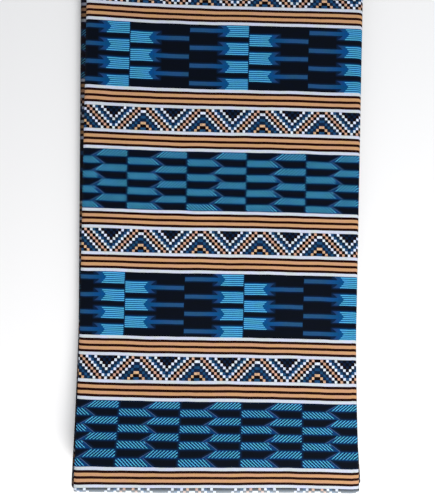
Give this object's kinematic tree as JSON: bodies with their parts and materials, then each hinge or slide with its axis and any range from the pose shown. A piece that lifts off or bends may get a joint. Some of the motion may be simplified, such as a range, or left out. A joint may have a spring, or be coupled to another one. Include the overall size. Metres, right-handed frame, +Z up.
{
  "type": "folded wax print fabric",
  "caption": "Length of blue wax print cotton with woven-style bands, doubled and folded back and forth into a flat pack.",
  "frame": {"origin": "centre of the pack's underside, on the surface it lies on", "axes": "+X along the printed stripes to the right, +Y from the doubled edge towards the selvedges, +Z up out of the pack"},
  "size_m": [0.3236, 0.5894, 0.0426],
  "materials": {
    "wax_print_cotton": "matt printed plain-weave cotton"
  },
  "bodies": {
    "root": {"folded_cloth": "wax_print_cotton"}
  },
  "joints": []
}
